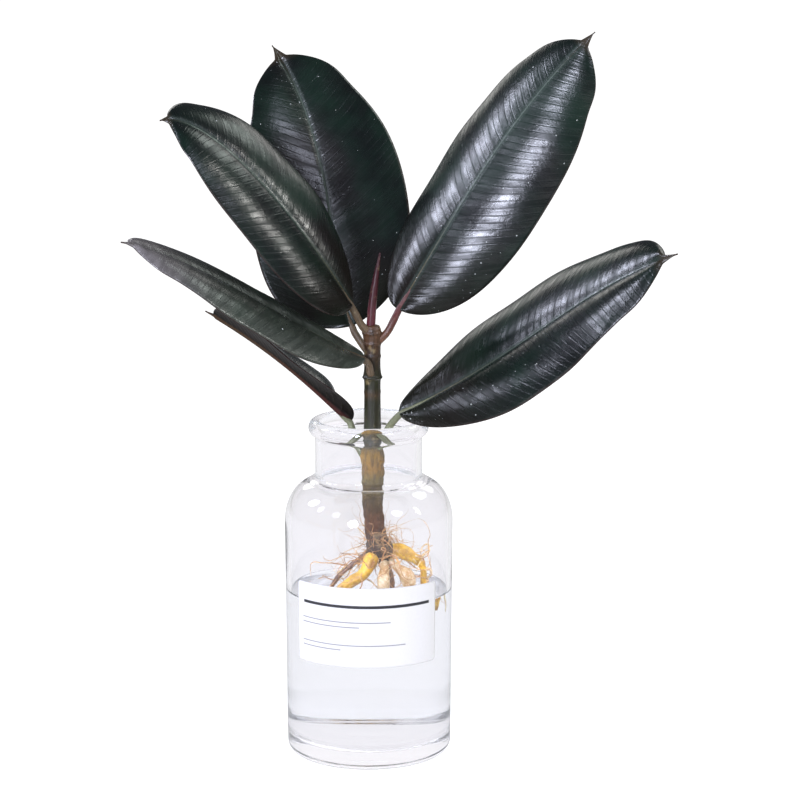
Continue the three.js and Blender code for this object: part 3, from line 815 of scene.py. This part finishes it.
def bead(at, normal, radius):
    """A flattened half-round drop, closed below, with an empty uv."""
    normal = unit(normal)
    across = unit(np.cross(normal, (0.31, 0.77, 0.55)))
    third = np.cross(normal, across)
    rings, sides, flatness, sunk = 3, 8, 0.7, 0.03
    turns = 2 * np.pi * np.arange(sides) / sides
    verts = []
    for k in range(rings):
        a = (math.pi / 2) * k / rings
        ring = np.cos(turns)[:, None] * across + np.sin(turns)[:, None] * third
        verts.append(at + ring * radius * math.cos(a) + normal * (radius * flatness * math.sin(a) - sunk))
    verts.append([at - normal * (2 * sunk), at + normal * (radius * flatness - sunk)])
    verts = np.vstack(verts)
    return verts, ring_faces(rings, sides), np.zeros((len(verts), 2))


# ---- Stem and roots ----
def make_stem(material):
    """The stem: swollen rings where leaves stood, and bark and a lumpy crown in the vase."""
    # each ring's height and swelling
    rings = ((167.0, 0.5), (189.5, 0.2), (197.0, 0.55), (208.0, 0.35), (214.5, 0.4), (220.0, 0.45))

    def skin(at, turns, along_mm):
        z = at[:, 2]
        bark = 1 - smoothstep(159.5, 168.5, z)
        crown = 1 - smoothstep(106.5, 114.5, z)
        rough = 0.42 * lattice_noise(at, 2.2, 31) + 0.26 * lattice_noise(at, 1.0, 32)
        lumps = 0.75 * lattice_noise(at, 5.5, 33)
        ribs = 0.05 * np.cos(2 * np.pi * (turns * 14 + 0.4 * lattice_noise(at, 20.0, 34)))
        scars = sum(h * np.exp(-((z - c) / 0.8)**2) for c, h in rings)
        return bark * (rough + lumps * (0.6 + 0.8 * crown)) + ribs + scars - 0.15

    verts, faces, uv = tube_part(STEM, sides=72, steps=26, bump=skin)
    stem = make_object("stem_grown", verts, faces, [material], {"tube": uv})
    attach(stem, "root")
    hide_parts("stem")


def make_sheath(material):
    """The rolled sheath at the tip, with the seam along it."""
    def skin(at, turns, along_mm):
        return 0.22 * np.exp(-((turns - 0.3) / 0.05)**2) + 0.05 * np.cos(2 * np.pi * (turns * 7))

    verts, faces, uv = tube_part(SHEATH, sides=32, steps=22, bump=skin)
    sheath = make_object("growing_tip_grown", verts, faces, [material], {"tube": uv})
    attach(sheath, "root")
    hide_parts("growing_tip_sheath")


def make_thick_roots(materials):
    """The thick roots, knobbly all along."""
    for seed, (node, (slot, stations)) in enumerate(ROOTS.items()):
        def skin(at, turns, along_mm, seed=seed):
            return (0.32 * lattice_noise(at, 4.0, 50 + seed) + 0.12 * lattice_noise(at, 1.3, 60 + seed))

        verts, faces, uv = tube_part(stations, sides=32, steps=18, bump=skin)
        root = make_object(node + "_grown", verts, faces, [materials[slot]], {"tube": uv})
        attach(root, "root")
        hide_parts(node)


def wander(rng, start, way, steps, stride, curl, sink):
    """A root's path: it keeps its way, bends by curl at each step and sinks a little."""
    at, way = np.array(start, float), unit(np.array(way, float))
    path = [at]
    bend = rng.normal(size=3)
    for _ in range(steps):
        bend = 0.7 * bend + 0.6 * rng.normal(size=3)
        way = unit(way + curl * bend + np.array([0, 0, -sink]))
        reach = np.hypot(at[0] + way[0] * stride, at[1] + way[1] * stride)
        if reach > ROOT_REACH:
            way = unit(way - 0.8 * np.array([at[0], at[1], 0]) / ROOT_REACH)
        at = at + way * stride
        path.append(at)
    return np.array(path)


def make_side_roots(name, slot, material, heights, seed, count, radius, steps, stride, curl, sink, spread):
    """A tangle of thin roots from the crown and the thick roots."""
    rng = np.random.default_rng(seed)
    anchors = [(CROWN_X + CROWN_RADIUS * math.cos(a), CROWN_RADIUS * math.sin(a), z)
               for a in np.arange(0, 6.28, 0.7) for z in heights]
    for _, stations in ROOTS.values():
        anchors += [s[:3] for s in stations[1:4]]
    parts = []
    for _ in range(count):
        start = np.array(anchors[rng.integers(len(anchors))], float)
        way = np.array([start[0] - CROWN_X, start[1], 0]) * 0.12 + rng.normal(size=3) * spread
        path = wander(rng, start, way, steps, stride * (0.7 + 0.6 * rng.random()), curl, sink)
        thick = radius * (0.6 + 0.8 * rng.random())
        radii = thick * np.linspace(1, 0.25, len(path))
        sides = 6 if thick < 0.35 else 10
        parts.append(tube_part(np.column_stack([path, radii]), sides, steps=4))
    verts, faces, uv = join_parts(parts)
    obj = make_object(name, verts, faces, [material], {"tube": uv})
    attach(obj, "root")


# ---- Build ----
make_vase()
make_water()
make_label()

face, back = leaf_face_material("leaf_face"), leaf_back_material()
# the same face with a painted grey sheen in its colour
sheen_painted_face = leaf_face_material("leaf_face_painted_sheen", 0.6)
stalks = {
    "red": stalk_material("stalk_red", "#6b4a35", "#5a2d2c"),
    "tan": stalk_material("stalk_tan", "#6a5844", "#5b4c3a"),
    "green": stalk_material("stalk_green", "#5c6040", "#6f7257"),
}
# drops with a painted glint in their pale colour
dew_painted_glint = dew_painted_glint_material()
DROPLET_ZONES = {
    "leaf_upper_right": [(0.05, 0.75, 0.03, 0.30, 55), (0.1, 0.9, 0.5, 0.97, 12)],
    "leaf_back": [(0.45, 0.93, 0.55, 0.97, 60), (0.1, 0.9, 0.03, 0.4, 25)],
    "leaf_lower_right": [(0.03, 0.5, 0.05, 0.45, 50)],
    "leaf_middle_left": [(0.02, 0.4, 0.5, 0.95, 18)],
    "leaf_upper_left": [(0.1, 0.9, 0.1, 0.9, 14)],
}
for number, (leaf_name, leaf_shape) in enumerate(LEAVES.items()):
    # the middle left leaf gets the face with the painted sheen
    skin = sheen_painted_face if leaf_name == "leaf_middle_left" else face
    upper_face, face_normals = make_leaf(leaf_name, leaf_shape, number + 1, skin, back, stalks)
    if leaf_name in DROPLET_ZONES:
        make_droplets(leaf_name + "_droplets", upper_face, face_normals, DROPLET_ZONES[leaf_name],
                      number + 70, dew_painted_glint)

make_stem(stem_material())
make_sheath(stalk_material("red_sheath", "#55222a", "#3c161d", 0.35))
root_materials = {
    "yellow_root": root_material("yellow_root", "#e2b220", "#946616", "#f0d96c"),
    "cream_root": root_material("cream_root", "#e6d6b0", "#b48c54", "#f3e9d2"),
    "brown_root": root_material("brown_root", "#7a5230", "#4a2c18", "#b98a52"),
}
root_materials["tan_hair"] = root_material("tan_hair", "#c9955a", "#8a5a2c", "#ecd2a0")
make_thick_roots(root_materials)
SIDE_ROOTS = {
    "side_roots_pale": dict(
        slot="cream_root", look="cream_root", heights=(102.5, 105.5), seed=11, count=10, radius=0.7,
        steps=14, stride=2.2, curl=0.28, sink=0.10, spread=0.5),
    "side_roots_tan": dict(
        slot="brown_root", look="tan_hair", heights=(102.5, 106.0, 109.5), seed=12, count=34, radius=0.36,
        steps=18, stride=1.7, curl=0.30, sink=0.06, spread=0.7),
    "root_hairs": dict(
        slot="brown_root", look="tan_hair", heights=(103.5, 106.5, 109.5, 112.5, 116.5), seed=13, count=190,
        radius=0.13, steps=16, stride=1.1, curl=0.45, sink=0.0, spread=0.9),
}
for tangle, settings in SIDE_ROOTS.items():
    make_side_roots(tangle, material=root_materials[settings.pop("look")], **settings)


# ---- Floor, light and camera ----
def make_floor():
    """A white table. It glows a little, so that it meets the white room with no horizon."""
    n = Nodes("white_table")
    grain = n.noise(n.place(), 3.0, 2.0, 0.5)
    matte = n.add("ShaderNodeBsdfDiffuse", {"Color": n.mix(grain, "#8a8a8a", "#8e8e8e")})
    path = n.add("ShaderNodeLightPath")
    through = path.outputs["Is Transmission Ray"]
    mirrored = n.math("SUBTRACT", path.outputs["Is Glossy Ray"], through, clamp=True)
    dimmed = n.plus(n.times(through, 0.28), n.times(mirrored, 0.64))
    glow = n.add("ShaderNodeEmission", {"Color": (1, 1, 1, 1), "Strength": n.minus(0.97, dimmed)})
    both = n.add("ShaderNodeAddShader", {0: matte.outputs[0], 1: glow.outputs[0]})
    material = n.surface(both.outputs[0])
    size, top = 30000.0, -0.2                  # top is just under the vase's foot
    corners = [(x * size, y * size, top) for x, y in ((-1, -1), (1, -1), (1, 1), (-1, 1))]
    floor = make_object("white_table", corners, [(0, 1, 2, 3)], [material], smooth=False)


def make_world():
    """A white room: full for the camera and glass, softer for diffuse light and dim in the leaves' gloss."""
    n = Nodes("studio", world=True)
    bpy.context.scene.world = n.owner
    path = n.add("ShaderNodeLightPath")

    def background(colour, strength):
        return n.add("ShaderNodeBackground", {0: (*colour, 1), 1: strength}).outputs[0]

    def choose(flag, otherwise, if_so):
        return n.add("ShaderNodeMixShader", {0: path.outputs[flag], 1: otherwise, 2: if_so}).outputs[0]

    # seen through glass, the room is darker towards its front, which draws the glass's edges
    direction = n.add("ShaderNodeTexCoord").outputs["Generated"]
    split = n.add("ShaderNodeSeparateXYZ", {0: direction})
    depth = n.add("ShaderNodeMapRange", {"Value": split.outputs[1], "From Min": -0.6, "From Max": 0.5,
                                         "To Min": 0.77, "To Max": 1.0}, interpolation_type="SMOOTHSTEP")

    sheen = choose("Is Singular Ray", background((0.80, 0.86, 1.0), 0.08), background((0.93, 0.92, 0.95), 0.20))
    light = choose("Is Diffuse Ray", background((1, 1, 1), 0.52), background((1, 1, 1), 0.42))
    mirrored = choose("Is Glossy Ray", light, sheen)
    through = background((0.985, 0.975, 1.0), depth.outputs[0])
    behind = choose("Is Transmission Ray", mirrored, through)
    n.surface(choose("Is Camera Ray", behind, background((1, 1, 1), 1.05)))


def add_softbox(name, turn, rise, distance, width, height, radiance, tint):
    """A soft light turn degrees to the right of the front and rise degrees up, facing the plant."""
    middle = Vector((0.0, 0.0, 0.2525))
    a, e = math.radians(turn), math.radians(rise)
    way = Vector((math.sin(a) * math.cos(e), -math.cos(a) * math.cos(e), math.sin(e)))
    data = bpy.data.lights.new(name, "AREA")
    data.shape = "ELLIPSE"
    data.size, data.size_y = width, height
    area = math.pi / 4 * width * height
    data.energy = radiance * math.pi * area
    data.color = tint
    lamp = bpy.data.objects.new(name, data)
    bpy.context.scene.collection.objects.link(lamp)
    lamp.location = middle + way * distance
    lamp.rotation_euler = (-way).to_track_quat("-Z", "Y").to_euler()
    lamp.visible_camera = False
    lamp.visible_transmission = False


def make_camera():
    """The photograph's camera: in front, a little above and looking down."""
    tilt = 11.1                                # degrees down
    data = bpy.data.cameras.new("camera")
    data.sensor_width, data.lens = 36.0, 128.25
    camera = bpy.data.objects.new("camera", data)
    bpy.context.scene.collection.objects.link(camera)
    camera.location = (0.0161, -1.4289, 0.4655)
    camera.rotation_euler = (math.radians(90 - tilt), 0, 0)
    data.clip_end = 100.0
    bpy.context.scene.camera = camera


make_floor()
make_world()
COOL, WARM, LEAFY = (0.80, 0.83, 1.0), (1.0, 0.99, 0.95), (0.90, 1.0, 0.94)
# degrees to the right of the front and up, then distance, width and height in metres, radiance and tint
LAMPS = {
    "window_left": (-103, 30, 1.5, 0.36, 0.48, 23.0, COOL),
    "window_side_left": (-80, 27, 1.5, 0.20, 0.32, 26.0, COOL),
    "window_front_left": (-50, 26, 1.5, 0.32, 0.40, 5.0, COOL),
    "card_front": (-21, 11, 1.6, 0.42, 0.48, 46.0, COOL),
    "window_front_right": (46, 32, 1.5, 0.40, 0.44, 8.0, COOL),
    "window_right": (80, 24, 1.5, 0.18, 0.44, 28.0, WARM),
    "rim_left": (-160, 20, 1.6, 0.64, 0.40, 2.2, WARM),
    "fill_right": (128, 40, 1.6, 0.80, 0.50, 3.6, LEAFY),
    "rim_right": (152, 25, 1.6, 0.70, 0.40, 1.8, WARM),
}
for lamp_name, lamp_settings in LAMPS.items():
    add_softbox(lamp_name, *lamp_settings)
make_camera()
bpy.context.scene.view_settings.view_transform = "Standard"
cycles = bpy.context.scene.cycles
# light bounces often in the thick glass, and fewer bounces leave dark rings there
cycles.max_bounces = cycles.transmission_bounces = cycles.glossy_bounces = 64
cycles.transparent_max_bounces = 24
